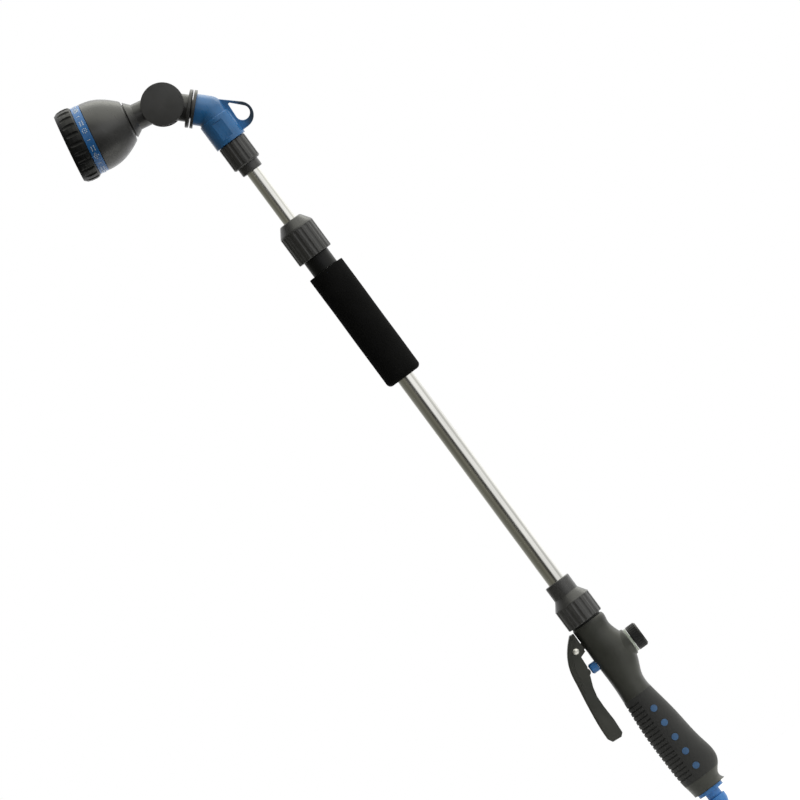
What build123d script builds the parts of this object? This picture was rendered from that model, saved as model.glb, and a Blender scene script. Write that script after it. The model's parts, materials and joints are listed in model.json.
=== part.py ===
from build123d import *
import math
import os

# Telescopic watering wand, in millimetres.
# +Z runs along the tube from the hose inlet to the head. The trigger and the head are on the -X side,
# the flow knob and the hang loop on the +X side, and Y = 0 is the plane of symmetry.
# The origin is the middle of the hose inlet's latch land, on the tube's axis.

# Tubes and the places along them
OUTER_TUBE_R = 8.0
OUTER_TUBE_WALL = 0.6
INNER_TUBE_R = 6.35
INNER_TUBE_WALL = 0.7
HANDLE_BOTTOM = 12.0
HANDLE_TOP = 187.0
UNION_BOTTOM = 188.7
UNION_TOP = 230.0
OUTER_TUBE_BOTTOM = 190.0
FOAM_BOTTOM = 446.0
FOAM_TOP = 560.0
FOAM_R = 17.0
OUTER_TUBE_TOP = 583.0
LOCK_NUT_BOTTOM = 574.3
LOCK_NUT_TOP = 611.0
INNER_TUBE_BOTTOM = 286.0
END_NUT_BOTTOM = 664.0
END_NUT_TOP = 694.6
ELBOW_BOTTOM = 695.0
INNER_TUBE_TOP = 706.0
SLEEVE_TOP = 719.5
ELBOW_VERTEX = 726.6

# Handle: (height, front x, rear x, half width) of each oval section
HANDLE_SECTIONS = [
    (HANDLE_BOTTOM, -14.5, 16.0, 15.0),
    (25.0, -16.5, 19.0, 16.5),
    (50.0, -18.0, 20.0, 17.0),
    (80.0, -18.0, 16.5, 16.5),
    (108.0, -16.0, 12.3, 15.5),
    (124.0, -14.7, 12.0, 15.3),
    (136.0, -14.5, 17.0, 15.8),
    (148.0, -14.7, 20.0, 16.3),
    (158.0, -14.8, 20.0, 16.2),
    (168.0, -14.6, 16.8, 15.0),
    (178.0, -14.5, 15.1, 14.5),
    (HANDLE_TOP, -14.5, 15.0, 14.5),
]
SHELL_WALL = 3.4
END_WALL = 2.4
PAD_THICKNESS = 1.4
PAD_BOTTOM = 24.0
PAD_TOP = 112.0
PAD_GROOVE_PITCH = 4.2
PAD_GROOVE_WIDTH = 1.5
PAD_GROOVE_DEPTH = 0.8
DOT_R = 3.0
DOT_X = 2.4
DOT_PITCH = 15.0
DOT_LOWEST = 34.8
DOT_COUNT = 5
SCREW_PLACES = [(12.4, 40.0), (-12.0, 64.0), (10.4, 80.0), (-10.9, 118.0), (11.9, 135.0), (11.6, 175.0)]
SCREW_R = 1.3
SCREW_HEAD_R = 2.6
SCREW_TIP_Y = -7.5
SCREW_HEAD_Y = 6.0

# Valve: everything here turns or slides along X at this height
VALVE_Z = 152.2
CHAMBER_R = 6.6
VALVE_BLOCK_R = 10.2
VALVE_NOSE_R = 7.6
VALVE_FRONT = -11.0
VALVE_REAR = 19.8
STEM_GUIDE_R = 4.0
PLUNGER_R = 4.75
PLUNGER_TIP = -21.6
PLUNGER_BACK = -14.1
SEAT_BACK = -1.5
KNOB_R = 11.25
KNOB_START = 22.7
KNOB_END = 32.1
COLLAR_START = 20.4
BOSS_END = 20.3
SHAFT_R = 3.5

# Trigger
PIN_X = -22.3
PIN_Z = 172.5
PIN_R = 2.0
PIN_HEAD_R = 2.8
LEVER_HALF_WIDTH = 10.0
LEVER_WALL = 2.2
LEVER_EDGE_R = 1.6
NOSE_X = -25.0
NOSE_R = 3.0
EAR_HALF_WIDTH = 3.2
EAR_R = 4.3

# Swivel and head
NECK_ANGLE = 45.0
HEAD_ANGLE = 79.0
PIVOT_DISTANCE = 40.0
ELBOW_END = 12.0
NECK_R = 11.7
FLANGE_R = 16.5
DRUM_R = 16.4
DRUM_HALF = 8.0
CHEEK_R = 16.8
CHEEK_INNER = 8.3
CHEEK_OUTER = 12.0
POCKET_R = 16.9
CAP_R = 18.5
CAP_INNER = 12.2
CAP_OUTER = 15.0
CAP_DOME_R = 150.0
YOKE_R = 11.5
YOKE_FRONT = 31.4
BELL_BACK = 31.6
SEAM_BACK = 30.9
SEAM_FRONT = 32.0
SEAM_R = 14.8
BELL_FRONT = 64.5
BAND_FRONT = 72.6
BEZEL_BACK = 72.9
BEZEL_FRONT = 88.0
DIAL_R = 30.6
BEZEL_R = 32.7
DIAL_BORE_R = 27.0
POST_R = 4.0
PORT_RADIUS = 18.0
FIT = 0.05

pivot_x = -PIVOT_DISTANCE * math.sin(math.radians(NECK_ANGLE))
pivot_z = ELBOW_VERTEX + PIVOT_DISTANCE * math.cos(math.radians(NECK_ANGLE))
neck_frame = Location((0, 0, ELBOW_VERTEX), (0, -NECK_ANGLE, 0))
head_frame = Location((pivot_x, 0, pivot_z), (0, -HEAD_ANGLE, 0))
valve_frame = Location((0, 0, VALVE_Z), (0, 90, 0))

os.makedirs("parts", exist_ok=True)


def save(name, shape, frame=None):
    """Write one node's solids to its STEP file, moved into its own frame first."""
    placed = shape if frame is None else frame * shape
    solids = list(placed.solids())
    export_step(solids[0] if len(solids) == 1 else Compound(solids), f"parts/{name}.step")


def rod(radius, start, end):
    """A cylinder along Z."""
    return Pos(0, 0, (start + end) / 2) * Cylinder(radius, end - start)


def ring(outer, inner, start, end):
    """A tube along Z."""
    return rod(outer, start, end) - rod(inner, start - 1, end + 1)


def turned(*points):
    """A solid of revolution about Z from its closed (radius, height) outline."""
    outline = Polyline(*[(radius, 0, height) for radius, height in points], close=True)
    return revolve(make_face(outline), Axis.Z)


def o_ring(centre_r, section_r, height):
    """A round rubber ring about Z."""
    return Pos(0, 0, height) * Torus(centre_r, section_r)


def block(x0, x1, y0, y1, z0, z1):
    """A box between two corners."""
    return Pos((x0 + x1) / 2, (y0 + y1) / 2, (z0 + z1) / 2) * Box(x1 - x0, y1 - y0, z1 - z0)


def cross_rod(radius, x, z, y0, y1):
    """A cylinder along Y."""
    return Pos(x, (y0 + y1) / 2, z) * Rot(90, 0, 0) * Cylinder(radius, y1 - y0)


def x_rod(radius, x0, x1, z=VALVE_Z):
    """A cylinder along X."""
    return Pos((x0 + x1) / 2, 0, z) * Rot(0, 90, 0) * Cylinder(radius, x1 - x0)


def curved_plate(front, rest, half_width):
    """A plate across Y from an (x, z) outline: a smooth curve through the front points, then straight edges."""
    curve = Spline(*[(x, 0, z) for x, z in front])
    straight = Polyline(*[(x, 0, z) for x, z in [front[-1], *rest, front[0]]])
    return extrude(make_face([curve, straight]), half_width, dir=(0, 1, 0), both=True)


def scallops(count, radius, cut_r, start, end):
    """Round cutters about Z that leave ribs between them."""
    cutter = rod(cut_r, start, end)
    return [place * cutter for place in PolarLocations(radius, count)]


# ---------------------------------------------------------------- handle

def handle_form(inset, low=HANDLE_BOTTOM, high=HANDLE_TOP):
    """The handle's outer form, drawn in by an inset."""
    sections = []
    for height, front, rear, half_width in HANDLE_SECTIONS:
        oval = Ellipse((rear - front) / 2 - inset, half_width - inset)
        sections.append(Pos((front + rear) / 2, 0, height) * oval)
    return loft(sections) & block(-60, 60, -60, 60, low, high)


def valve_block(gap, end):
    """The block across the pipe. Its nose tapers at 45 degrees to stay inside the handle's rounded front."""
    nose = VALVE_FRONT - gap
    shoulder = nose + VALVE_BLOCK_R - VALVE_NOSE_R
    form = turned((0, nose), (VALVE_NOSE_R + gap, nose), (VALVE_BLOCK_R + gap, shoulder), (VALVE_BLOCK_R + gap, end),
                  (0, end))
    return valve_frame * form


def water_envelope(gap):
    """Room for the water body inside the shells."""
    room = rod(7.5 + gap, HANDLE_BOTTOM - 1, VALVE_Z)
    room += rod(11.2 + gap, HANDLE_BOTTOM - 1, 30.0 + gap)
    room += rod(8.2 + gap, VALVE_Z, HANDLE_TOP + 1)
    room += valve_block(gap, BOSS_END + 1)
    return room


def handle_shell_pair():
    """Left and right shells with bosses, ribs, pivot ear and screw holes."""
    form = handle_form(0)
    boss = turned((0, 4.0), (13.4, 4.0), (13.0, 14.0), (12.3, BOSS_END - 0.8), (11.5, BOSS_END), (0, BOSS_END))
    form += valve_frame * boss
    cavity = handle_form(SHELL_WALL, HANDLE_BOTTOM + END_WALL, HANDLE_TOP - END_WALL)
    for height in (58.0, 86.0, 114.0, 168.0):
        cavity -= block(-40, 40, -40, 40, height, height + 2.0)
    for x, z in SCREW_PLACES:
        cavity -= cross_rod(3.6, x, z, -30, 30)
    shell = form - cavity
    ear = cross_rod(EAR_R - 1.4, PIN_X, PIN_Z, -EAR_HALF_WIDTH, EAR_HALF_WIDTH)
    ear += block(PIN_X, -13.5, -EAR_HALF_WIDTH, EAR_HALF_WIDTH, PIN_Z - 2.9, PIN_Z + 2.9)
    shell += ear
    shell -= water_envelope(0.1)
    shell -= x_rod(PLUNGER_R + 0.75, -18.0, VALVE_FRONT)
    shell -= cross_rod(PIN_R + 0.02, PIN_X, PIN_Z, -30, 30)
    pad_zone = form - handle_form(PAD_THICKNESS)
    shell -= pad_zone & block(-60, 60, -60, 60, PAD_BOTTOM, PAD_TOP)
    for x, z in SCREW_PLACES:
        shell -= cross_rod(SCREW_R + 0.02, x, z, SCREW_TIP_Y - 0.1, 30)
        shell -= cross_rod(SCREW_HEAD_R + 0.2, x, z, SCREW_HEAD_Y, 30)
    left = shell & block(-60, 60, -60, 0, -60, 300)
    right = shell & block(-60, 60, 0, 60, -60, 300)
    save("handle_shell_left", left)
    save("handle_shell_right", right)


def shell_screws():
    """The screws that close the shells, heads on the right side."""
    screws = []
    for x, z in SCREW_PLACES:
        screw = cross_rod(SCREW_R, x, z, SCREW_TIP_Y, SCREW_HEAD_Y + 0.1)
        screw += cross_rod(SCREW_HEAD_R, x, z, SCREW_HEAD_Y + 0.02, SCREW_HEAD_Y + 2.0)
        slot_y = SCREW_HEAD_Y + 2.0
        screw -= block(x - 2.0, x + 2.0, slot_y - 0.8, slot_y + 1, z - 0.35, z + 0.35)
        screw -= block(x - 0.35, x + 0.35, slot_y - 0.8, slot_y + 1, z - 2.0, z + 2.0)
        screws.append(screw)
    save("shell_screws", Compound([solid for screw in screws for solid in screw.solids()]))


def grip_pads():
    """Rubber grip pads on the two shells, ribbed at the front, with round inlays."""
    zone = block(-60, 60, -60, 60, PAD_BOTTOM + 0.02, PAD_TOP - 0.02)
    skin = (handle_form(0.0) - handle_form(PAD_THICKNESS)) & zone
    grooves = []
    groove_count = int((PAD_TOP - PAD_BOTTOM - 8) / PAD_GROOVE_PITCH)
    for index in range(groove_count):
        z = PAD_BOTTOM + 6 + index * PAD_GROOVE_PITCH
        grooves.append(block(-40, -5.0, -30, 30, z, z + PAD_GROOVE_WIDTH))
    groove_floor = handle_form(PAD_GROOVE_DEPTH)
    skin -= Compound([groove.solid() for groove in grooves]) - groove_floor
    inlays = []
    for side in (-1, 1):
        for index in range(DOT_COUNT):
            z = DOT_LOWEST + index * DOT_PITCH
            y0, y1 = sorted((side * 6.0, side * 30.0))
            inlays.append(cross_rod(DOT_R, DOT_X, z, y0, y1))
            skin -= cross_rod(DOT_R + FIT, DOT_X, z, y0, y1)
    dot_skin = handle_form(-0.35) - handle_form(PAD_THICKNESS - 0.02)
    dots = [dot_skin & inlay for inlay in inlays]
    for x, z in SCREW_PLACES:
        skin -= cross_rod(SCREW_HEAD_R + 0.2, x, z, SCREW_HEAD_Y, 30)
    save("grip_pad_left", skin & block(-60, 60, -60, 0, 0, 300))
    save("grip_pad_right", skin & block(-60, 60, 0, 60, 0, 300))
    save("grip_dots", Compound([solid for dot in dots for solid in dot.solids()]))


def water_body():
    """The sealed pipe in the handle, with the valve block across it and the threaded spigot on top."""
    body = rod(11.2, 13.0, 30.0) + rod(7.5, 29.0, VALVE_Z)
    body += valve_block(0, VALVE_REAR)
    body += rod(8.2, VALVE_Z, 206.0) + rod(14.0, HANDLE_TOP + 0.2, 188.4) + rod(13.2, 188.0, 206.0)
    body -= rod(7.55, 12.0, 26.2) + rod(4.5, 26.0, 138.0)
    body -= Pos(4.2, 0, 0) * rod(2.6, 133.0, VALVE_Z)
    body -= x_rod(CHAMBER_R, -6.9, 17.1) + x_rod(8.0, 17.0, VALVE_REAR + 1)
    body -= x_rod(STEM_GUIDE_R, VALVE_FRONT - 1, -6.0)
    body -= Pos(-4.2, 0, 0) * rod(2.2, VALVE_Z, 170.0)
    body -= turned((0, 168.0), (6.8, 168.0), (6.8, 189.9), (OUTER_TUBE_R + FIT, 190.0), (OUTER_TUBE_R + FIT, 207.0),
                   (0, 207.0))
    save("water_body", body)


def inlet():
    """Male quick coupling for the hose, with its o-ring, gasket and filter."""
    nipple = turned(
        (4.5, -14.0), (6.6, -14.0), (7.2, -13.0), (7.2, -11.2), (6.1, -11.2), (6.1, -8.8), (7.2, -8.8), (7.2, -6.0),
        (8.5, -2.5), (8.5, 2.5), (6.7, 3.2), (6.7, 8.5), (12.0, 8.5), (12.0, 11.5), (7.5, 11.5), (7.5, 26.0),
        (6.0, 26.0), (6.0, 22.0), (4.5, 22.0),
    )
    flats = block(-30, 30, 11.0, 30, 8.0, 11.6) + block(-30, 30, -30, -11.0, 8.0, 11.6)
    save("inlet_nipple", nipple - flats)
    save("nipple_o_ring", o_ring(7.0, 0.88, -10.0))
    save("inlet_gasket", ring(10.4, 7.6, 11.5, 13.0))
    screen = rod(5.95, 22.0, 23.4)
    for radius, count in ((2.2, 6), (4.2, 12)):
        screen -= scallops(count, radius, 0.65, 21.0, 24.0)
    save("inlet_filter", screen)


# ---------------------------------------------------------------- valve and knob, built along X from the tube's axis

def valve():
    """Plunger, stem, poppet and their spring and seals, from front to back."""
    cap = turned((0, PLUNGER_TIP + 0.8), (1.5, PLUNGER_TIP), (3.4, PLUNGER_TIP), (PLUNGER_R, PLUNGER_TIP + 1.2),
                 (PLUNGER_R, PLUNGER_BACK), (2.05, PLUNGER_BACK), (2.05, -19.5), (0, -19.5))
    save("plunger_cap", cap, valve_frame)
    land = STEM_GUIDE_R - 0.06
    stem = turned(
        (0, -19.4), (2.0, -19.4), (2.0, -11.8), (land, -11.8), (land, -11.1), (2.8, -11.1), (2.8, -9.7),
        (land, -9.7), (land, -8.2), (2.0, -8.2), (2.0, 0.4), (4.7, 0.4), (4.7, 2.0), (2.2, 2.0), (2.2, 4.0), (0, 4.0),
    )
    save("valve_stem", stem, valve_frame)
    save("stem_o_ring", o_ring(3.4, 0.58, -10.4), valve_frame)
    save("poppet_seal", ring(5.0, 2.02, SEAT_BACK + 0.02, 0.39), valve_frame)
    save("valve_seat", ring(CHAMBER_R - 0.02, 4.2, -3.5, SEAT_BACK), valve_frame)
    path = Helix(pitch=1.9, height=9.4, radius=3.3)
    wire = Plane(origin=path @ 0, z_dir=path % 0) * Circle(0.4)
    save("valve_spring", Pos(0, 0, 2.5) * sweep(wire, path), valve_frame)


def flow_control():
    """Rotary flow spindle with its gland, and the knurled knob on it."""
    spindle = turned(
        (5.5, 2.2), (CHAMBER_R - FIT, 2.2), (CHAMBER_R - FIT, 13.0), (5.6, 13.0), (5.6, 14.4),
        (CHAMBER_R - FIT, 14.4), (CHAMBER_R - FIT, 16.9), (SHAFT_R, 16.9), (SHAFT_R, 29.5), (0, 29.5), (0, 12.4),
        (5.5, 12.4),
    )
    spindle -= Pos(6.5, 0, 4.8) * Box(8.0, 6.0, 4.8)
    spindle -= block(-5, 5, 2.4, 5, 26.0, 30.0)
    save("flow_spindle", spindle, valve_frame)
    save("spindle_o_ring", o_ring(6.08, 0.46, 13.7), valve_frame)
    save("spindle_gland", ring(7.95, SHAFT_R + FIT, 17.1, VALVE_REAR + 0.4), valve_frame)
    save("knob_collar", ring(KNOB_R - 0.4, SHAFT_R + 0.3, COLLAR_START, 22.4), valve_frame)
    knob = turned(
        (0, KNOB_END - 0.6), (6.5, KNOB_END - 0.6), (7.3, KNOB_END), (9.8, KNOB_END), (KNOB_R, KNOB_END - 1.5),
        (KNOB_R, KNOB_START + 0.6), (KNOB_R - 0.6, KNOB_START), (0, KNOB_START),
    )
    knob -= scallops(28, KNOB_R + 0.35, 0.75, KNOB_START + 1.6, KNOB_END + 1)
    knob -= rod(SHAFT_R + 0.02, KNOB_START - 1, 29.6) - block(-5, 5, 2.42, 5, 26.0, 29.6)
    save("flow_knob", knob, valve_frame)


# ---------------------------------------------------------------- trigger

LEVER_OUTER = [(-19.0, 186.2), (-27.4, 177.7), (-33.4, 168.6), (-36.9, 159.0), (-38.6, 149.0), (-40.8, 136.0),
               (-43.0, 121.0), (-44.6, 106.0), (-44.9, 96.5)]
LEVER_INNER = [(-42.6, 92.2), (-34.0, 91.4), (-31.2, 94.0), (-30.4, 106.0), (-30.8, 120.0), (-30.4, 131.0),
               (-28.4, 139.5), (-24.9, 148.0), (-22.0, 157.0), (-21.4, 166.0), (-15.9, 167.8), (-15.2, 173.0),
               (-15.0, 185.4)]


def trigger():
    """Channel-shaped trigger lever with the nose that pushes the plunger, and its pin."""
    lever = curved_plate(LEVER_OUTER, LEVER_INNER, LEVER_HALF_WIDTH)
    curved_edges = lever.edges().filter_by(GeomType.BSPLINE)
    lever = fillet([edge for edge in curved_edges if abs(edge.center().Y) > 1], LEVER_EDGE_R)
    pocket_front = [(x + LEVER_WALL, z - 1.4) for x, z in LEVER_OUTER[:-1]]
    pocket_end = [(-42.7, 97.5), (-41.4, 94.4), (-10.0, 94.4), (-10.0, 190.0), (-16.0, 190.0)]
    lever -= curved_plate(pocket_front, pocket_end, LEVER_HALF_WIDTH - LEVER_WALL)
    nose = cross_rod(NOSE_R, NOSE_X, VALVE_Z, -6.0, 6.0)
    nose += block(-37.0, NOSE_X, -2.0, 2.0, VALVE_Z - 2.0, VALVE_Z + 2.0)
    lever += nose
    lever -= cross_rod(PIN_R + 0.06, PIN_X, PIN_Z, -30, 30)
    save("trigger_lever", lever)
    pin = cross_rod(PIN_R, PIN_X, PIN_Z, -10.9, 10.9)
    for side in (-1, 1):
        y0, y1 = sorted((side * 10.1, side * 11.6))
        pin += cross_rod(PIN_HEAD_R, PIN_X, PIN_Z, y0, y1) & Pos(PIN_X, side * 8.1, PIN_Z) * Sphere(3.4)
    save("trigger_pin", pin)


# ---------------------------------------------------------------- tubes, nuts and grip

def lower_tube():
    """Union nut, outer tube with its seal, foam grip and the lock body."""
    nut = turned(
        (13.35, UNION_BOTTOM), (16.3, UNION_BOTTOM), (17.0, UNION_BOTTOM + 0.7), (17.0, 208.6), (12.6, 215.0),
        (11.75, 216.4), (11.75, UNION_TOP - 0.6), (11.2, UNION_TOP), (OUTER_TUBE_R + 0.1, UNION_TOP),
        (OUTER_TUBE_R + 0.1, 209.0), (13.35, 209.0),
    )
    nut -= scallops(16, 19.7, 3.4, UNION_BOTTOM - 1, 208.0)
    save("union_nut", nut)
    save("tube_seal", ring(13.0, OUTER_TUBE_R + 0.03, 206.1, 208.9))
    save("outer_tube", ring(OUTER_TUBE_R, OUTER_TUBE_R - OUTER_TUBE_WALL, OUTER_TUBE_BOTTOM, OUTER_TUBE_TOP))
    foam = rod(FOAM_R, FOAM_BOTTOM, FOAM_TOP)
    foam = fillet(foam.edges().group_by(Axis.Z)[0], 4.0)
    foam = fillet(foam.edges().group_by(Axis.Z)[-1], 0.8)
    save("foam_grip", foam - rod(OUTER_TUBE_R, FOAM_BOTTOM - 1, FOAM_TOP + 1))
    lock = turned(
        (OUTER_TUBE_R + FIT, FOAM_TOP + 0.1), (12.0, FOAM_TOP + 0.1), (12.0, LOCK_NUT_BOTTOM - 0.3),
        (10.8, LOCK_NUT_BOTTOM - 0.3),
        (10.8, 596.0), (INNER_TUBE_R + 0.1, 596.0), (INNER_TUBE_R + 0.1, 587.0), (8.2, 587.0), (8.2, 583.2),
        (OUTER_TUBE_R + FIT, 583.2),
    )
    save("lock_body", lock)
    save("lock_seal", ring(8.15, INNER_TUBE_R + 0.04, 583.3, 586.9))


def tube_lock():
    """Split collet and the lock nut that squeezes it onto the inner tube."""
    collet = turned((INNER_TUBE_R + 0.08, 596.1), (9.8, 596.1), (9.8, 598.5), (8.2, 605.0), (INNER_TUBE_R + 0.08, 605.0))
    for angle in (0, 60, 120):
        collet -= Rot(0, 0, angle) * block(-12, 12, -0.5, 0.5, 598.5, 606.0)
    save("lock_collet", collet)
    nut = turned(
        (10.9, LOCK_NUT_BOTTOM), (15.8, LOCK_NUT_BOTTOM), (16.5, LOCK_NUT_BOTTOM + 0.7), (16.5, 601.6),
        (16.0, 602.8), (10.8, LOCK_NUT_TOP - 0.6), (10.0, LOCK_NUT_TOP), (INNER_TUBE_R + 0.25, LOCK_NUT_TOP),
        (INNER_TUBE_R + 0.25, 607.0), (8.5, 605.5), (10.3, 598.2), (10.9, 597.0),
    )
    nut -= scallops(18, 19.0, 3.1, LOCK_NUT_BOTTOM - 1, 601.0)
    save("lock_nut", nut)


def piston():
    """Piston on the lower end of the inner tube, which stays still while the tube turns."""
    body = turned(
        (4.2, 268.0), (7.0, 268.0), (7.35, 268.6), (7.35, 271.0), (6.3, 271.0), (6.3, 272.6), (7.35, 272.6),
        (7.35, 279.0), (6.3, 279.0), (6.3, 280.6), (7.35, 280.6), (7.35, 285.9), (5.6, 285.9), (5.6, 298.0),
        (4.2, 298.0),
    )
    save("tube_piston", body)
    rings = [o_ring(6.85, 0.53, 271.8), o_ring(6.85, 0.53, 279.8)]
    save("piston_o_rings", Compound([seal.solid() for seal in rings]))


def upper_tube():
    """Inner tube and the end nut that holds it in the elbow."""
    save("inner_tube", ring(INNER_TUBE_R, INNER_TUBE_R - INNER_TUBE_WALL, INNER_TUBE_BOTTOM, INNER_TUBE_TOP))
    nut = turned(
        (INNER_TUBE_R + FIT, END_NUT_BOTTOM), (9.2, END_NUT_BOTTOM), (9.8, END_NUT_BOTTOM + 0.6), (9.8, 671.6),
        (12.1, 671.6), (13.0, 672.6), (13.0, 693.9), (12.3, END_NUT_TOP), (10.55, END_NUT_TOP), (10.55, 677.0),
        (INNER_TUBE_R + FIT, 677.0),
    )
    nut -= scallops(14, 15.5, 3.1, 673.4, END_NUT_TOP + 1)
    save("end_nut", nut)
    save("elbow_seal", ring(10.4, INNER_TUBE_R + 0.03, 677.1, 679.8))


# ---------------------------------------------------------------- elbow and swivel

def elbow():
    """Blue elbow with its hang loop, and the collar and clip that hold the neck."""
    body = rod(14.5, ELBOW_BOTTOM, SLEEVE_TOP) + rod(10.5, 680.0, ELBOW_BOTTOM + 1)
    body = fillet(body.edges().group_by(Axis.Z)[-1], 0.8)
    body += rod(13.4, SLEEVE_TOP - 2, ELBOW_VERTEX) + Pos(0, 0, ELBOW_VERTEX) * Sphere(13.4)
    body += neck_frame * rod(13.4, 0, ELBOW_END)
    corner = [Pos(19.5, 708.6) * Circle(11.6), Pos(10.6, 729.6) * Circle(2.0), Pos(10.0, 699.0) * Circle(2.0)]
    outline = make_hull([edge for shape in corner for edge in shape.edges()])
    hole = [Pos(22.4, 709.0) * Circle(6.3), Pos(17.9, 721.4) * Circle(1.1)]
    opening = make_hull([edge for shape in hole for edge in shape.edges()])
    loop = extrude(outline - opening, 2.6, both=True)
    loop = fillet(loop.edges().filter_by(lambda edge: abs(edge.center().Z) > 2.5), 0.7)
    body += Rot(90, 0, 0) * loop
    panel = block(-9, 9, -20, -13.6, 699.0, 715.5)
    panel = fillet(panel.edges().filter_by(Axis.Y), 2.0)
    body -= panel + mirror(panel, Plane.XZ)
    body -= rod(INNER_TUBE_R + FIT, 679, INNER_TUBE_TOP) + rod(5.0, 700, ELBOW_VERTEX)
    body -= Pos(0, 0, ELBOW_VERTEX) * Sphere(5.0)
    body -= neck_frame * (rod(5.0, 0, 3) + rod(8.3, 2.0, ELBOW_END + 3) + rod(9.5, 8.9, 10.4))
    save("elbow", body)
    save("swivel_collar", ring(FLANGE_R, 8.35, ELBOW_END, 14.5), neck_frame)
    clip = ring(9.4, 7.0, 9.0, 10.3) - block(0, 12, -1.6, 1.6, 8, 11)
    save("neck_clip", clip, neck_frame)


def neck():
    """Neck that swivels in the elbow and ends in the pivot drum."""
    spigot = 8.3 - FIT
    stem = turned(
        (4.6, 2.2), (spigot, 2.2), (spigot, 4.6), (7.1, 4.6), (7.1, 6.4), (spigot, 6.4), (spigot, 8.7), (6.85, 8.7),
        (6.85, 10.6), (spigot, 10.6), (spigot, 15.7), (FLANGE_R - 0.5, 15.7), (FLANGE_R, 16.2), (FLANGE_R, 18.2),
        (FLANGE_R - 0.5, 18.7), (NECK_R, 18.7), (NECK_R, PIVOT_DISTANCE), (4.6, PIVOT_DISTANCE),
    )
    drum = cross_rod(DRUM_R, 0, PIVOT_DISTANCE, -DRUM_HALF, DRUM_HALF)
    sides = cross_rod(17.4, 0, PIVOT_DISTANCE, -30, 30) - cross_rod(17.5, 0, PIVOT_DISTANCE, -DRUM_HALF, DRUM_HALF)
    body = stem - sides + drum
    body -= cross_rod(7.0, 0, PIVOT_DISTANCE, -30, 30)
    body -= cross_rod(9.5, 0, PIVOT_DISTANCE, -3.0, 3.0) + rod(4.6, 2.0, PIVOT_DISTANCE)
    save("neck", body, neck_frame)
    save("neck_o_ring", o_ring(7.68, 0.56, 5.5), neck_frame)


def head_yoke():
    """Yoke whose two cheeks hold the drum, its caps, hollow spindle, seals and screw."""
    yoke = cross_rod(CHEEK_R, 0, 0, -CHEEK_OUTER, CHEEK_OUTER) + rod(YOKE_R, 0, 26.0)
    yoke += turned((0, 25.0), (YOKE_R + 0.3, 25.0), (16.3, 30.6), (16.0, SEAM_BACK), (SEAM_R, SEAM_BACK),
                   (SEAM_R, YOKE_FRONT), (0, YOKE_FRONT))
    yoke -= cross_rod(POCKET_R, 0, 0, -CHEEK_INNER, CHEEK_INNER)
    yoke -= block(-20, 20, -CHEEK_INNER, CHEEK_INNER, -20, 0)
    yoke -= cross_rod(7.0, 0, 0, -30, 30)
    yoke -= rod(4.6, 10, YOKE_FRONT + 1) + rod(10.1, 26.8, YOKE_FRONT + 1)
    save("head_yoke", yoke, head_frame)
    for name, side in (("pivot_cap_left", -1), ("pivot_cap_right", 1)):
        inner, outer = sorted((side * CAP_INNER, side * CAP_OUTER))
        cap = cross_rod(CAP_R, 0, 0, inner, outer)
        cap = fillet(cap.edges().group_by(Axis.Y)[-1 if side > 0 else 0], 0.8)
        cap &= Pos(0, side * (CAP_OUTER - CAP_DOME_R), 0) * Sphere(CAP_DOME_R)
        skirt_inner, skirt_outer = sorted((side * 12.0, side * CAP_INNER))
        cap += cross_rod(CHEEK_R - 0.8, 0, 0, skirt_inner, skirt_outer)
        if side > 0:
            cap -= cross_rod(4.2, 0, 0, 13.4, 16) + cross_rod(1.8, 0, 0, 10, 16)
        save(name, cap, head_frame)
    spindle = cross_rod(7.0 - FIT, 0, 0, -11.9, 11.9)
    for side in (-1, 1):
        y0, y1 = sorted((side * 4.6, side * 6.0))
        spindle -= cross_rod(8.0, 0, 0, y0, y1) - cross_rod(5.9, 0, 0, y0, y1)
    spindle -= cross_rod(4.0, 0, 0, -9.5, 4.0) + cross_rod(1.5, 0, 0, 3.0, 12.0) + rod(2.4, -8, 8)
    save("pivot_spindle", spindle, head_frame)
    seals = []
    for y in (-5.3, 5.3):
        seals.append(Pos(0, y, 0) * Rot(90, 0, 0) * Torus(6.42, 0.5))
    save("pivot_o_rings", Compound([seal.solid() for seal in seals]), head_frame)
    screw = cross_rod(1.48, 0, 0, 4.2, 14.0) + cross_rod(3.6, 0, 0, 13.42, 14.9)
    screw -= block(-2.4, 2.4, 14.1, 16, -0.45, 0.45) + block(-0.45, 0.45, 14.1, 16, -2.4, 2.4)
    save("pivot_screw", screw, head_frame)


# ---------------------------------------------------------------- spray head

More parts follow.
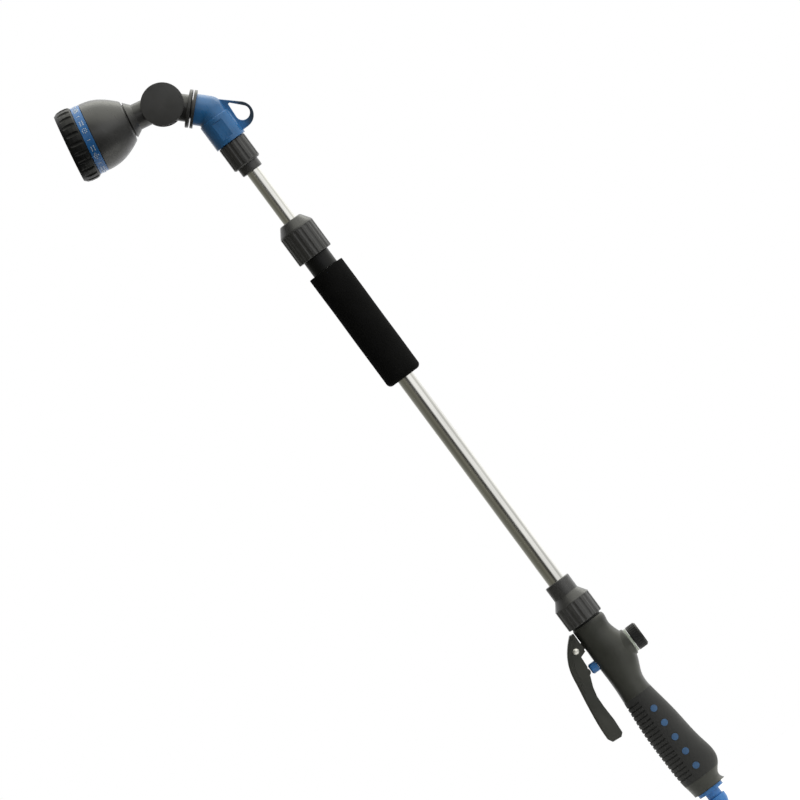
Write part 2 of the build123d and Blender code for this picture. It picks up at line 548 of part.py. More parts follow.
def bell():
    """Bell housing with the diverter plate and its seal and detent inside."""
    outside = Spline((18.6, 0, SEAM_FRONT + 0.9), (25.0, 0, 42.5), (28.9, 0, 51.5), (30.3, 0, 58.5),
                     (DIAL_R, 0, BELL_FRONT))
    inside = Spline((28.3, 0, BELL_FRONT), (28.0, 0, 58.5), (26.4, 0, 52.0), (22.6, 0, 44.0), (14.0, 0, BELL_BACK + 2.6))
    front = Line(outside @ 1, inside @ 0)
    back = Polyline(inside @ 1, (5.0, 0, BELL_BACK + 2.6), (5.0, 0, 27.0), (10.0, 0, 27.0), (10.0, 0, BELL_BACK),
                    (SEAM_R, 0, BELL_BACK), (SEAM_R, 0, SEAM_FRONT), (17.4, 0, SEAM_FRONT), outside @ 0)
    save("bell_housing", revolve(make_face([outside, front, inside, back]), Axis.Z), head_frame)
    diverter = turned((0, 61.0), (27.9, 61.0), (27.9, 64.4), (POST_R, 64.4), (POST_R, 82.0), (0, 82.0))
    diverter -= Pos(PORT_RADIUS, 0, 0) * rod(3.5, 60, 66)
    diverter -= Pos(-PORT_RADIUS, 0, 0) * rod(1.6, 62.0, 66)
    diverter -= rod(1.2, 72.0, 83.0)
    save("diverter_plate", diverter, head_frame)
    save("diverter_seal", Pos(PORT_RADIUS, 0, 0) * ring(5.6, 3.5, 64.4, 66.2), head_frame)
    save("detent_spring", Pos(-PORT_RADIUS, 0, 0) * ring(1.5, 0.9, 62.0, 63.9), head_frame)
    save("detent_ball", Pos(-PORT_RADIUS, 0, 65.02) * Sphere(1.3), head_frame)


def dial():
    """The turning spray dial: pattern band, bezel, chamber body, face plate, insert and screw."""
    band = turned((27.05, 64.9), (DIAL_R - 0.3, 64.9), (DIAL_R, 65.2), (DIAL_R, BAND_FRONT), (27.05, BAND_FRONT))
    save("pattern_band", band, head_frame)
    bezel = turned(
        (27.05, BEZEL_BACK), (30.9, BEZEL_BACK), (32.2, 74.4), (BEZEL_R, 77.0), (BEZEL_R, 81.0), (32.0, 85.0),
        (29.9, BEZEL_FRONT), (27.6, BEZEL_FRONT), (25.2, 87.2), (25.2, 86.9), (27.05, 86.9),
    )
    bezel -= scallops(24, BEZEL_R + 1.3, 2.5, BEZEL_BACK + 1.4, BEZEL_FRONT + 1)
    save("selector_bezel", bezel, head_frame)
    body = rod(DIAL_BORE_R, 66.4, 69.4) + ring(DIAL_BORE_R, 25.0, 69.4, 83.9) + ring(8.5, POST_R + FIT, 69.4, 82.0)
    wall = Pos(16.5, 0, 76.5) * Box(17.4, 1.6, 14.6)
    for place in PolarLocations(0, 8):
        body += place * Rot(0, 0, 22.5) * wall
        body -= place * Pos(PORT_RADIUS, 0, 0) * rod(3.2, 66, 69.5)
    body -= rod(POST_R + FIT, 66, 84)
    save("dial_body", body, head_frame)
    plate_disc = turned((0, 84.0), (26.95, 84.0), (26.95, 86.8), (25.0, 86.8), (24.4, 86.0), (11.6, 86.0),
                        (11.0, 86.8), (9.9, 86.8), (9.9, 85.2), (0, 85.2))
    holes = []
    for radius, count in ((13.5, 16), (16.6, 24), (19.7, 28), (22.6, 32)):
        holes += scallops(count, radius, 0.55, 83, 88)
    plate_disc -= Compound([hole.solid() for hole in holes])
    save("face_plate", plate_disc, head_frame)
    insert = turned((0, 85.25), (9.8, 85.25), (9.8, 87.2), (9.2, 87.8), (4.2, 87.8), (3.4, 87.0), (0, 87.0))
    save("face_insert", insert, head_frame)
    save("face_screw", turned((0, 73.0), (1.15, 73.0), (1.15, 82.05), (3.8, 82.05), (3.8, 83.6), (0, 83.6)), head_frame)


handle_shell_pair()
shell_screws()
grip_pads()
water_body()
inlet()
valve()
flow_control()
trigger()
lower_tube()
tube_lock()
piston()
upper_tube()
elbow()
neck()
head_yoke()
bell()
dial()
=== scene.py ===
import json
import math

import bpy
from mathutils import Matrix, Vector, noise


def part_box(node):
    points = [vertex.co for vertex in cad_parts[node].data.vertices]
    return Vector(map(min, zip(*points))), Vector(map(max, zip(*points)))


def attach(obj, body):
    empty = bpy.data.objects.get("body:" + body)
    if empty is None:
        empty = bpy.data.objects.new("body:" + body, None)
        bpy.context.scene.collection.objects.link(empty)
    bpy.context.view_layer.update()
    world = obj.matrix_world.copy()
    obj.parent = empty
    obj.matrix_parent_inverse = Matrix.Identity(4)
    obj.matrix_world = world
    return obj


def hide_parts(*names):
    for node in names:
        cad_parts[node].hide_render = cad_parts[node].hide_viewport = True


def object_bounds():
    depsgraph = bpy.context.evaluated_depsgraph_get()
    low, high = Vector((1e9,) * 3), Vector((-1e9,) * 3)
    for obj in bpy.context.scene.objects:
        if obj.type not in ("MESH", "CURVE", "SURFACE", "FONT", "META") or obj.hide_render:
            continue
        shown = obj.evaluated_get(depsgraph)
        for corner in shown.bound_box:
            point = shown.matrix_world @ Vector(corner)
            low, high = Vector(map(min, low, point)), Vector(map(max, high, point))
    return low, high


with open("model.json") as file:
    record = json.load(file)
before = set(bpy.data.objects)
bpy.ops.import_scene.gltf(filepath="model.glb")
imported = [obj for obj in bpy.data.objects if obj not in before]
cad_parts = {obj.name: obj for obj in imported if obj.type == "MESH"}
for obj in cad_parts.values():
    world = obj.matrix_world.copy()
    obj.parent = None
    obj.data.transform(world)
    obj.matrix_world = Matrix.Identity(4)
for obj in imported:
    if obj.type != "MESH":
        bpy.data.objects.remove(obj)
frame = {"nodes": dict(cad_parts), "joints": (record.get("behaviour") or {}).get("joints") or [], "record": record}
CAD_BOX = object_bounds()
NODES = frame["nodes"]
MM = 0.001


# ---------------------------------------------------------------- shader helpers

class Shader:
    """A node material with one Principled surface and short calls for its nodes."""

    def __init__(self, name):
        self.material = bpy.data.materials.new(name)
        self.material.use_nodes = True
        self.tree = self.material.node_tree
        self.tree.nodes.clear()
        self.out = self.tree.nodes.new("ShaderNodeOutputMaterial")
        self.surface = self.tree.nodes.new("ShaderNodeBsdfPrincipled")
        self.link(self.surface.outputs[0], self.out.inputs[0])
        self.place = self.add("ShaderNodeTexCoord").outputs["Object"]

    def add(self, kind, **settings):
        made = self.tree.nodes.new(kind)
        for key, value in settings.items():
            setattr(made, key, value)
        return made

    def link(self, source, target):
        self.tree.links.new(source, target)

    def feed(self, target, value):
        """Sets a socket to a number or colour, or links another socket to it."""
        if isinstance(value, bpy.types.NodeSocket):
            self.link(value, target)
        elif isinstance(value, (tuple, list)) and len(value) == 3 and target.type == "RGBA":
            target.default_value = (*value, 1.0)
        else:
            target.default_value = value

    def set(self, **values):
        for key, value in values.items():
            self.feed(self.surface.inputs[key.replace("_", " ")], value)
        return self

    def stretched(self, x, y, z):
        """The object's coordinates, scaled by axis."""
        scaled = self.add("ShaderNodeVectorMath", operation="MULTIPLY")
        self.link(self.place, scaled.inputs[0])
        scaled.inputs[1].default_value = (x, y, z)
        return scaled.outputs[0]

    def noise(self, scale, detail=3.0, roughness=0.55, vector=None):
        made = self.add("ShaderNodeTexNoise")
        self.link(vector or self.place, made.inputs["Vector"])
        made.inputs["Scale"].default_value = scale
        made.inputs["Detail"].default_value = detail
        made.inputs["Roughness"].default_value = roughness
        return made.outputs["Fac"]

    def cells(self, scale, feature="F1"):
        made = self.add("ShaderNodeTexVoronoi", feature=feature)
        self.link(self.place, made.inputs["Vector"])
        made.inputs["Scale"].default_value = scale
        return made.outputs["Distance"]

    def spread(self, value, low, high, start=0.0, end=1.0):
        """Maps a value from start..end to low..high."""
        made = self.add("ShaderNodeMapRange")
        self.link(value, made.inputs["Value"])
        made.inputs["From Min"].default_value = start
        made.inputs["From Max"].default_value = end
        made.inputs["To Min"].default_value = low
        made.inputs["To Max"].default_value = high
        return made.outputs["Result"]

    def maths(self, operation, first, second=0.0):
        made = self.add("ShaderNodeMath", operation=operation)
        self.feed(made.inputs[0], first)
        self.feed(made.inputs[1], second)
        return made.outputs[0]

    def mix(self, factor, first, second):
        made = self.add("ShaderNodeMix", data_type="RGBA")
        self.feed(made.inputs["Factor"], factor)
        self.feed(made.inputs[6], first)
        self.feed(made.inputs[7], second)
        return made.outputs[2]

    def bump(self, height, strength, distance, normal=None):
        made = self.add("ShaderNodeBump")
        made.inputs["Strength"].default_value = strength
        made.inputs["Distance"].default_value = distance
        self.link(height, made.inputs["Height"])
        if normal:
            self.link(normal, made.inputs["Normal"])
        return made.outputs[0]

    def edges(self, radius):
        """(softened normal, how near an edge a point is)."""
        soft = self.add("ShaderNodeBevel", samples=6)
        soft.inputs["Radius"].default_value = radius
        flat = self.add("ShaderNodeNewGeometry")
        meet = self.add("ShaderNodeVectorMath", operation="DOT_PRODUCT")
        self.link(soft.outputs[0], meet.inputs[0])
        self.link(flat.outputs["Normal"], meet.inputs[1])
        return soft.outputs[0], self.spread(meet.outputs["Value"], 1.0, 0.0, 0.72, 0.985)


def moulded(name, colour, roughness, grain=0.35, wear=0.5, edge=0.35, shine=0.5, painted_shade=None):
    """Injection-moulded plastic: fine eroded grain, faint flow mottling, scuffs and paler handled edges.
    painted_shade is (start, end, colour): painted shade, the plastic turns to that darker colour from start to end
    along X, in mm."""
    s = Shader(name)
    mottle = s.noise(38.0, 4.0)
    flow = s.noise(1.0, 3.0, 0.6, s.stretched(240.0, 240.0, 46.0))
    dark = tuple(c * 0.80 for c in colour)
    light = tuple(min(1.0, c * 1.22 + 0.002) for c in colour)
    base = s.mix(s.spread(mottle, 0.0, 1.0, 0.3, 0.7), dark, light)
    # Painted shade: the base colour darkens along X from start to end.
    if painted_shade:
        start, end, shade_colour = painted_shade
        across = s.add("ShaderNodeSeparateXYZ")
        s.link(s.place, across.inputs[0])
        base = s.mix(s.spread(across.outputs["X"], 0.0, 1.0, start * MM, end * MM), base, shade_colour)
    normal, near_edge = s.edges(edge * MM)
    rubbed = s.maths("MULTIPLY", near_edge, s.spread(s.noise(210.0, 4.0), 0.0, wear, 0.38, 0.72))
    worn = tuple(min(1.0, c * 1.9 + 0.022) for c in colour)
    base = s.mix(rubbed, base, worn)
    scuff = s.spread(flow, roughness - 0.06, roughness + 0.09, 0.3, 0.7)
    eroded = s.noise(2600.0, 2.0, 0.7)
    normal = s.bump(eroded, grain, 0.03 * MM, normal)
    normal = s.bump(mottle, 0.12, 0.25 * MM, normal)
    s.set(Base_Color=base, Roughness=s.maths("ADD", scuff, s.spread(eroded, -0.03, 0.03)), Normal=normal)
    s.set(Specular_IOR_Level=shine)
    return s.material


def rubbery(name, colour, roughness=0.72):
    """Soft moulded rubber: matte skin with a fine pebble and dusty high spots."""
    s = Shader(name)
    pebble = s.cells(1500.0)
    dust = s.noise(60.0, 5.0, 0.65)
    light = tuple(min(1.0, c * 1.5 + 0.006) for c in colour)
    base = s.mix(s.spread(dust, 0.0, 0.8, 0.42, 0.75), colour, light)
    normal, near_edge = s.edges(0.3 * MM)
    base = s.mix(s.maths("MULTIPLY", near_edge, 0.35), base, tuple(min(1.0, c * 2.0 + 0.02) for c in colour))
    normal = s.bump(pebble, 0.3, 0.08 * MM, normal)
    dusty = s.spread(dust, roughness - 0.08, roughness + 0.1, 0.3, 0.7)
    s.set(Base_Color=base, Roughness=dusty, Normal=normal)
    s.set(Sheen_Weight=0.08, Sheen_Roughness=0.5)
    return s.material


def foam(name):
    """Closed-cell foam: deep matte black, open cut cells and a slight skin."""
    s = Shader(name)
    cells = s.cells(1150.0)
    fine = s.noise(3600.0, 3.0, 0.7)
    broad = s.noise(45.0, 4.0)
    pores = s.spread(cells, 0.0, 1.0, 0.05, 0.5)
    base = s.mix(pores, (0.0028, 0.0028, 0.0030), (0.0086, 0.0086, 0.0088))
    base = s.mix(s.spread(broad, 0.0, 0.5, 0.45, 0.75), base, (0.0125, 0.0125, 0.0127))
    normal = s.bump(cells, 0.75, 0.22 * MM)
    normal = s.bump(fine, 0.35, 0.06 * MM, normal)
    s.set(Base_Color=base, Roughness=s.spread(fine, 0.9, 1.0), Normal=normal)
    s.set(Specular_IOR_Level=0.04)
    return s.material


def metal(name, colour, roughness, drawn=0.0):
    """Bright metal. Drawn tube has fine lines along Z and broad duller streaks along Z."""
    s = Shader(name)
    lines = s.noise(1.0, 4.0, 0.7, s.stretched(4200.0, 4200.0, 9.0))
    broad = s.noise(1.0, 3.0, 0.5, s.stretched(160.0, 160.0, 14.0))
    smudge = s.noise(55.0, 5.0, 0.6)
    dull = tuple(c * 0.82 for c in colour)
    base = s.mix(s.spread(broad, 0.0, 1.0, 0.35, 0.65), colour, dull)
    rough = s.maths("ADD", s.spread(smudge, roughness * 0.75, roughness * 1.35, 0.3, 0.7),
                    s.spread(lines, -0.02, 0.05, 0.3, 0.7))
    rounded = s.edges(0.25 * MM)[0]
    normal = s.bump(lines, 0.10 + drawn, 0.02 * MM, rounded)
    s.set(Base_Color=base, Roughness=rough, Normal=normal, Metallic=1.0)
    return s.material


GREY = moulded("grey_plastic", (0.046, 0.046, 0.047), 0.31, grain=0.35, wear=0.15)
LEVER_GREY = moulded("lever_plastic", (0.030, 0.031, 0.027), 0.37, grain=0.3, wear=0.4)
# A lighter copy of the grey plastic for the pivot caps: painted light, since their flat faces turn to the dark gap
# where the viewer stands.
LIT_CAP_GREY = moulded("cap_plastic_painted_light", (0.055, 0.055, 0.056), 0.33, grain=0.3, wear=0.15)
# A darker copy of the grey plastic for the handle shells: painted shade across the handle's middle.
SHADED_HANDLE_GREY = moulded("handle_plastic_painted_shade", (0.032, 0.033, 0.029), 0.38, grain=0.35, wear=0.15, shine=0.35)
BLUE = moulded("blue_plastic", (0.022, 0.140, 0.40), 0.30, grain=0.25, wear=0.1)
# Painted shade on the hang loop: the elbow plastic turns darker along X towards the loop's outer ring.
SHADED_LOOP_BLUE = moulded("elbow_plastic_painted_shade", (0.024, 0.145, 0.38), 0.30, grain=0.25, wear=0.1,
                    painted_shade=(17.0, 26.0, (0.016, 0.035, 0.065)))
BLACK = moulded("black_plastic", (0.0055, 0.006, 0.0065), 0.40, grain=0.4, wear=0.3, shine=0.25)
PRINT = moulded("pale_print", (0.55, 0.62, 0.70), 0.4, grain=0.2, wear=0.2)
PALE = moulded("pale_plastic", (0.30, 0.33, 0.29), 0.45, grain=0.3, wear=0.2)
RUBBER = rubbery("black_rubber", (0.0085, 0.0088, 0.0095))
BLUE_RUBBER = rubbery("blue_rubber", (0.022, 0.075, 0.18), 0.6)
FOAM = foam("foam_black")
STAINLESS = metal("stainless_tube", (0.75, 0.745, 0.715), 0.13, drawn=0.12)
STEEL = metal("bright_steel", (0.78, 0.77, 0.74), 0.24)
SATIN_STEEL = metal("satin_steel", (0.84, 0.83, 0.80), 0.55)

BY_SLOT = {
    "housing_grey": GREY,
    "blue_plastic": BLUE,
    "black_plastic": BLACK,
    "inner_plastic": PALE,
    "stainless": STAINLESS,
    "steel": STEEL,
    "rubber_black": RUBBER,
    "rubber_blue": BLUE_RUBBER,
    "foam_black": FOAM,
}
OWN_MATERIAL = {
    "trigger_lever": LEVER_GREY,
    "handle_shell_left": SHADED_HANDLE_GREY,
    "handle_shell_right": SHADED_HANDLE_GREY,
    "elbow": SHADED_LOOP_BLUE,
    "pivot_cap_left": LIT_CAP_GREY,
    "pivot_cap_right": LIT_CAP_GREY,
    "trigger_pin": SATIN_STEEL,
}


def dress(obj, material):
    obj.data.materials.clear()
    obj.data.materials.append(material)


for part in frame["record"]["subparts"]:
    node_object = NODES[part["node"]]
    dress(node_object, OWN_MATERIAL.get(part["node"], BY_SLOT[part["material_slot"]]))


# ---------------------------------------------------------------- mesh helpers

def new_piece(name, vertices, faces, material, body, smooth_angle=35.0):
    mesh = bpy.data.meshes.new(name)
    mesh.from_pydata([tuple(v) for v in vertices], [], faces)
    mesh.validate()
    piece = bpy.data.objects.new(name, mesh)
    bpy.context.scene.collection.objects.link(piece)
    for polygon in mesh.polygons:
        polygon.use_smooth = True
    mesh.set_sharp_from_angle(angle=math.radians(smooth_angle))
    dress(piece, material)
    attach(piece, body)
    return piece


def lathe(profile, steps, shape=None):
    """Vertices and faces of a closed (radius, height) profile turned about Z.
    shape(point) may move each point."""
    vertices = []
    for turn in range(steps):
        angle = 2 * math.pi * turn / steps
        for radius, height in profile:
            point = Vector((radius * math.cos(angle), radius * math.sin(angle), height))
            vertices.append(shape(point) if shape else point)
    count = len(profile)
    faces = []
    for turn in range(steps):
        for row in range(count):
            low, high = turn * count + row, turn * count + (row + 1) % count
            next_turn = ((turn + 1) % steps) * count
            faces.append((low, next_turn + row, next_turn + (row + 1) % count, high))
    return vertices, faces


# ---------------------------------------------------------------- foam grip

def foam_sleeve():
    """Foam tube: a pressed lower corner, a cut upper end and a skin that is never quite even."""
    low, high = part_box("foam_grip")
    side_inset, end_inset = 0.12 * MM, 0.1 * MM
    bore, bore_chamfer = 8.1 * MM, 0.6 * MM
    pressed, cut = 4.2 * MM, 0.7 * MM
    rows = 90
    radius, bottom, top = (high.x - low.x) / 2 - side_inset, low.z + end_inset, high.z - end_inset
    profile = [(bore, bottom + bore_chamfer), (bore + bore_chamfer, bottom)]
    for step in range(9):
        angle = math.radians(-90 + 90 * step / 8)
        out = radius - pressed + pressed * math.cos(angle)
        profile.append((out, bottom + pressed + pressed * math.sin(angle)))
    for step in range(1, rows):
        profile.append((radius, bottom + pressed + (top - bottom - pressed - cut) * step / rows))
    for step in range(5):
        angle = math.radians(90 * step / 4)
        profile.append((radius - cut + cut * math.cos(angle), top - cut + cut * math.sin(angle)))
    profile += [(bore + 4 * MM, top - 0.05 * MM), (bore, top - 0.3 * MM)]

    def uneven(point):
        out = Vector((point.x, point.y, 0)).normalized()
        broad = noise.noise(point * 32.0) * 0.18 * MM
        fine = noise.noise(point * 420.0) * 0.05 * MM
        return point + out * (broad + fine - 0.1 * MM)

    vertices, faces = lathe(profile, 128, uneven)
    sleeve = new_piece("foam_sleeve", vertices, faces, FOAM, "handle", 60.0)
    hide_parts("foam_grip")


foam_sleeve()


# ---------------------------------------------------------------- marks on the pattern band

def head_matrix():
    """The spray head's own frame: Z along its axis, origin on the pivot."""
    joints = {joint["name"]: joint for joint in frame["joints"]}
    axis = Vector(joints["dial_turn"]["axis"]).normalized()
    pivot = Vector(joints["head_tilt"]["pos_m"])
    side = Vector((0.0, 1.0, 0.0))
    return Matrix.Translation(pivot) @ Matrix((side.cross(axis), side, axis)).transposed().to_4x4()


HEAD = head_matrix()
BAND_R = 30.6 * MM
BAND_MIDDLE = 68.8 * MM
MARK_RISE = 0.16 * MM
MARK_SINK = 0.2 * MM
FIRST_MARK = 0.30
DASHES_AWAY = 7.3 * MM
TICK_AWAY = 3.2 * MM
TICK_LENGTH = 2.6 * MM
TICK_WIDTH = 0.6 * MM


class BandMarks:
    """Raised pictograms, built flat as outlines of points (along the band, along the axis),
    and wrapped round the band."""

    def __init__(self):
        self.vertices = []
        self.faces = []

    def wrap(self, along, across, radius):
        angle = along / BAND_R
        return HEAD @ Vector((radius * math.cos(angle), radius * math.sin(angle), BAND_MIDDLE + across))

    def outline(self, points):
        """A raised pad with a slightly smaller top."""
        count = len(points)
        middle = sum((Vector(p) for p in points), Vector((0, 0))) / count
        start = len(self.vertices)
        levels = (
            (BAND_R - MARK_SINK, 1.0),
            (BAND_R + MARK_RISE * 0.7, 1.0),
            (BAND_R + MARK_RISE, 0.86),
        )
        for radius, keep in levels:
            for p in points:
                q = middle + (Vector(p) - middle) * keep
                self.vertices.append(self.wrap(q.x, q.y, radius))
        for level in (0, 1):
            for k in range(count):
                a, b = start + level * count + k, start + level * count + (k + 1) % count
                self.faces.append((a, b, b + count, a + count))
        self.faces.append(tuple(start + 2 * count + k for k in range(count)))
        self.faces.append(tuple(start + k for k in reversed(range(count))))

    def dot(self, along, across, radius, sides=12):
        self.outline([(along + radius * math.cos(2 * math.pi * k / sides),
                       across + radius * math.sin(2 * math.pi * k / sides)) for k in range(sides)])

    def bar(self, along, across, length, width, angle=0.0):
        c, s = math.cos(angle), math.sin(angle)
        corners = [(-length, -width), (length, -width), (length, width), (-length, width)]
        self.outline([(along + (x * c - y * s) / 2, across + (x * s + y * c) / 2) for x, y in corners])

    def arc(self, along, across, radius, width, start, end, pieces=6):
        for k in range(pieces):
            angle = start + (end - start) * (k + 0.5) / pieces
            step = (end - start) / pieces * radius * 1.08
            self.bar(along + radius * math.cos(angle), across + radius * math.sin(angle), step, width,
                     angle + math.pi / 2)


def mark_shower(m, at):
    m.dot(at, 0, 0.55 * MM)
    for k in range(8):
        m.dot(at + 2.0 * MM * math.cos(k * math.pi / 4), 2.0 * MM * math.sin(k * math.pi / 4), 0.45 * MM)


def mark_jet(m, at):
    m.arc(at, 0, 2.2 * MM, 0.6 * MM, 0, 2 * math.pi, 20)
    m.dot(at, 0, 0.8 * MM)


def mark_fan(m, at):
    for k in range(5):
        m.bar(at + (k - 2) * 1.25 * MM, 0, 4.4 * MM, 0.55 * MM, math.pi / 2 + (2 - k) * 0.13)


def mark_mist(m, at):
    for row in range(4):
        for k in range(4):
            m.dot(at + (k - 1.75 + 0.5 * (row % 2)) * 1.4 * MM, (row - 1.5) * 1.3 * MM, 0.38 * MM)


def mark_flat(m, at):
    for row in (-1, 0, 1):
        m.bar(at, row * 1.6 * MM, 5.6 * MM, 0.6 * MM)


def mark_cone(m, at):
    m.arc(at, -1.4 * MM, 1.7 * MM, 0.55 * MM, 0.4, math.pi - 0.4, 8)
    m.arc(at, -1.4 * MM, 3.2 * MM, 0.55 * MM, 0.4, math.pi - 0.4, 12)
    m.dot(at, -1.7 * MM, 0.6 * MM)


def mark_dashes(m, at):
    """Two rows of short dashes beside a pictogram."""
    for row, lengths in ((-1, (1.5, 0.9, 1.3)), (1, (0.9, 1.5, 1.0))):
        along = at - 2.4 * MM
        for length in lengths:
            m.bar(along + length * MM / 2, row * 1.15 * MM, length * MM, 0.85 * MM)
            along += (length + 0.55) * MM


def band_marks():
    """One pictogram with dashes over each of the dial's settings, and a tick between them."""
    marks = BandMarks()
    kinds = (mark_shower, mark_jet, mark_fan, mark_mist, mark_flat, mark_cone, mark_shower, mark_fan)
    pitch = 2 * math.pi * BAND_R / len(kinds)
    for index, kind in enumerate(kinds):
        middle = (index + FIRST_MARK) * pitch
        kind(marks, middle)
        mark_dashes(marks, middle + DASHES_AWAY)
        marks.bar(middle + pitch / 2 + TICK_AWAY, 0, TICK_LENGTH, TICK_WIDTH, math.pi / 2)
    new_piece("band_marks", marks.vertices, marks.faces, PRINT, "dial", 30.0)


band_marks()


# ---------------------------------------------------------------- raised lines on the trigger's sides

# Points (x, z) of the lever's front edge, in mm, from its top down to where the lines end
LEVER_EDGE = [(-19.0, 186.2), (-27.4, 177.7), (-33.4, 168.6), (-36.9, 159.0), (-38.6, 149.0), (-40.8, 136.0)]


LINE_RADIUS = 0.32 * MM
# Each line's distance from the edge in mm, and how far along the first and last stretch it starts and ends
LEVER_LINES = ((2.4, 0.148, 1.0), (3.7, 0.178, 0.7), (5.0, 0.208, 0.4))


def inward(points, distance):
    """The same (x, z) line, moved in from the lever's front edge."""
    moved = []
    for index, (x, z) in enumerate(points):
        x0, z0 = points[max(index - 1, 0)]
        x1, z1 = points[min(index + 1, len(points) - 1)]
        run = Vector((x1 - x0, z1 - z0)).normalized()
        moved.append((x - run.y * distance, z + run.x * distance))
    return moved


def lever_lines():
    """Fine raised lines that follow the front edge on both sides of the lever."""
    low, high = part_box("trigger_lever")
    for side, face in (("left", low.y), ("right", high.y)):
        curve = bpy.data.curves.new("lever_lines_" + side, "CURVE")
        curve.dimensions = "3D"
        curve.bevel_depth = LINE_RADIUS
        curve.bevel_resolution = 3
        curve.use_fill_caps = True
        for distance, first, last in LEVER_LINES:
            line = inward(LEVER_EDGE, distance)
            start = Vector(line[0]).lerp(Vector(line[1]), first)
            end = Vector(line[-2]).lerp(Vector(line[-1]), last)
            points = [tuple(start)] + line[1:-1] + [tuple(end)]
            spline = curve.splines.new("NURBS")
            spline.points.add(len(points) - 1)
            for knot, (x, z) in zip(spline.points, points):
                knot.co = (x * MM, face, z * MM, 1.0)
            spline.order_u = 3
            spline.use_endpoint_u = True
        piece = bpy.data.objects.new("lever_lines_" + side, curve)
        bpy.context.scene.collection.objects.link(piece)
        dress(piece, LEVER_GREY)
        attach(piece, "trigger")


lever_lines()


# ---------------------------------------------------------------- camera, light and floor

UP_TILT = math.radians(36.49)
VIEW_CENTRE = Vector((-15.3, 0.0, 433.0)) * MM
VIEW_WIDTH = 680.0 * MM
CAMERA_DISTANCE = 7.0
SENSOR_WIDTH = 36.0
FLOOR_RADIUS = 0.42
FLOOR_GAP = 0.4 * MM


def camera():
    """Long lens looking along +Y, rolled so that the wand leans as it is held."""
    data = bpy.data.cameras.new("camera")
    data.sensor_width = SENSOR_WIDTH
    data.lens = SENSOR_WIDTH * CAMERA_DISTANCE / VIEW_WIDTH
    data.clip_end = 100.0
    view = bpy.data.objects.new("camera", data)
    bpy.context.scene.collection.objects.link(view)
    right = Vector((math.cos(UP_TILT), 0.0, -math.sin(UP_TILT)))
    up = Vector((math.sin(UP_TILT), 0.0, math.cos(UP_TILT)))
    back = Vector((0.0, -1.0, 0.0))
    turn = Matrix((right, up, back)).transposed().to_4x4()
    view.matrix_world = Matrix.Translation(VIEW_CENTRE + back * CAMERA_DISTANCE) @ turn
    bpy.context.scene.camera = view


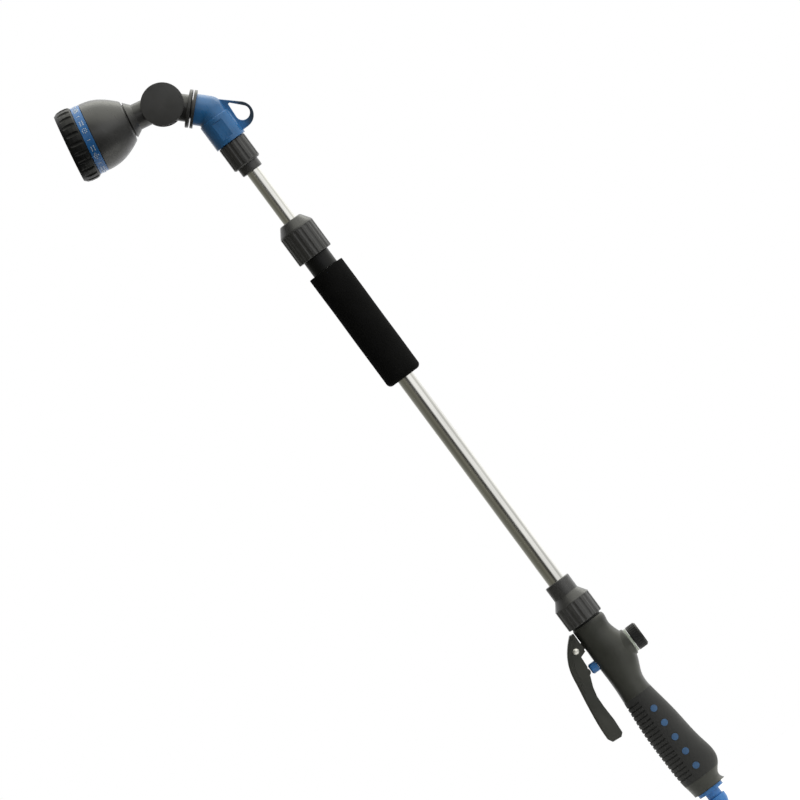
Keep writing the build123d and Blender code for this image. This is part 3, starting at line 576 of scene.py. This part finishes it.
def studio():
    """White studio: a window at the right front, a dim left side and a dark gap where the viewer stands.

    The stops give the light around the horizon by compass angle, 0 at the viewer and positive to the right.
    It dims below the horizon and well above it. Softboxes lie overhead, behind, and just above the viewer."""
    world = bpy.data.worlds.new("studio")
    bpy.context.scene.world = world
    world.use_nodes = True
    tree = world.node_tree
    tree.nodes.clear()

    def add(kind, **settings):
        made = tree.nodes.new(kind)
        for key, value in settings.items():
            setattr(made, key, value)
        return made

    direction = add("ShaderNodeTexCoord").outputs["Generated"]
    parts = add("ShaderNodeSeparateXYZ")
    tree.links.new(direction, parts.inputs[0])
    front = add("ShaderNodeMath", operation="MULTIPLY")
    front.inputs[1].default_value = -1.0
    tree.links.new(parts.outputs["Y"], front.inputs[0])
    around = add("ShaderNodeMath", operation="ARCTAN2")
    tree.links.new(parts.outputs["X"], around.inputs[0])
    tree.links.new(front.outputs[0], around.inputs[1])
    share = add("ShaderNodeMapRange")
    share.inputs["From Min"].default_value = -math.pi
    share.inputs["From Max"].default_value = math.pi
    tree.links.new(around.outputs[0], share.inputs["Value"])
    ramp = add("ShaderNodeValToRGB")
    tree.links.new(share.outputs["Result"], ramp.inputs["Fac"])
    stops = [
        (-180, (1.9, 1.9, 1.9)), (-150, (1.0, 1.0, 1.0)), (-122, (0.34, 0.34, 0.31)),
        (-92, (0.20, 0.20, 0.17)), (-58, (0.14, 0.137, 0.11)), (-26, (0.20, 0.195, 0.16)),
        (-10, (0.055, 0.053, 0.047)), (6.5, (0.055, 0.053, 0.047)), (16.5, (0.75, 0.75, 0.74)),
        (24, (1.15, 1.15, 1.14)), (62, (1.15, 1.15, 1.14)), (76, (0.55, 0.55, 0.55)),
        (100, (0.70, 0.70, 0.70)), (122, (1.15, 1.15, 1.15)), (145, (1.9, 1.9, 1.9)),
    ]
    elements = ramp.color_ramp.elements
    while len(elements) > 1:
        elements.remove(elements[-1])
    for index, (angle, colour) in enumerate(stops):
        place = (angle + 180.0) / 360.0
        stop = elements[0] if index == 0 else elements.new(place)
        stop.position = place
        stop.color = (*colour, 1.0)

    def smooth(value, start, end, low=0.0, high=1.0):
        made = add("ShaderNodeMapRange", interpolation_type="SMOOTHSTEP")
        made.inputs["From Min"].default_value = start
        made.inputs["From Max"].default_value = end
        made.inputs["To Min"].default_value = low
        made.inputs["To Max"].default_value = high
        tree.links.new(value, made.inputs["Value"])
        return made.outputs["Result"]

    def product(first, second):
        made = add("ShaderNodeMath", operation="MULTIPLY")
        tree.links.new(first, made.inputs[0])
        tree.links.new(second, made.inputs[1])
        return made.outputs[0]

    def blend(factor, first, second, kind="MIX"):
        made = add("ShaderNodeMix", data_type="RGBA", blend_type=kind)
        tree.links.new(factor, made.inputs["Factor"])
        tree.links.new(first, made.inputs[6])
        made.inputs[7].default_value = (*second, 1.0)
        return made.outputs[2]

    above = add("ShaderNodeVectorMath", operation="DOT_PRODUCT")
    tree.links.new(direction, above.inputs[0])
    above.inputs[1].default_value = (math.sin(UP_TILT), 0.0, math.cos(UP_TILT))
    below = smooth(parts.outputs["Z"], -0.04, -0.32)
    behind = product(smooth(parts.outputs["Y"], 0.1, 0.6), smooth(parts.outputs["X"], -0.75, -0.2))
    beyond = smooth(parts.outputs["Z"], 0.15, 0.55)
    glow = product(smooth(parts.outputs["Z"], 0.25, 0.6), smooth(parts.outputs["Y"], 0.0, 0.5))
    panel = product(smooth(parts.outputs["Z"], 0.04, 0.22), smooth(front.outputs[0], 0.93, 0.975))
    light = blend(below, ramp.outputs["Color"], (0.22, 0.22, 0.21), "MULTIPLY")
    light = blend(beyond, light, (0.42, 0.42, 0.41), "MULTIPLY")
    light = blend(smooth(above.outputs["Value"], 0.5, 0.88), light, (2.0, 2.0, 1.8))
    light = blend(glow, light, (1.0, 1.0, 1.0))
    light = blend(panel, light, (1.5, 1.5, 1.5))
    light = blend(behind, light, (1.35, 1.35, 1.35))
    light = blend(product(behind, smooth(above.outputs["Value"], 0.5, 0.8)), light, (3.4, 3.4, 3.1))
    room = add("ShaderNodeBackground")
    tree.links.new(light, room.inputs["Color"])
    backdrop = add("ShaderNodeBackground")
    backdrop.inputs["Color"].default_value = (1.0, 1.0, 1.0, 1.0)
    path = add("ShaderNodeLightPath")
    choose = add("ShaderNodeMixShader")
    tree.links.new(path.outputs["Is Camera Ray"], choose.inputs["Fac"])
    tree.links.new(room.outputs[0], choose.inputs[1])
    tree.links.new(backdrop.outputs[0], choose.inputs[2])
    out = add("ShaderNodeOutputWorld")
    tree.links.new(choose.outputs[0], out.inputs[0])


def floor():
    """A pale round floor under the inlet."""
    s = Shader("floor_pale")
    grain = s.noise(60.0, 4.0)
    s.set(Base_Color=s.mix(grain, (0.86, 0.86, 0.86), (0.92, 0.92, 0.915)), Roughness=0.85)
    s.set(Emission_Color=(1.0, 1.0, 1.0), Emission_Strength=0.12)
    steps = 96
    level = CAD_BOX[0].z - FLOOR_GAP
    turns = [2 * math.pi * k / steps for k in range(steps)]
    rim = [(FLOOR_RADIUS * math.cos(turn), FLOOR_RADIUS * math.sin(turn), level) for turn in turns]
    mesh = bpy.data.meshes.new("floor")
    mesh.from_pydata([(0, 0, level)] + rim, [], [(0, 1 + k, 1 + (k + 1) % steps) for k in range(steps)])
    ground = bpy.data.objects.new("floor", mesh)
    bpy.context.scene.collection.objects.link(ground)
    dress(ground, s.material)


camera()
studio()
floor()
bpy.context.scene.view_settings.view_transform = "Standard"
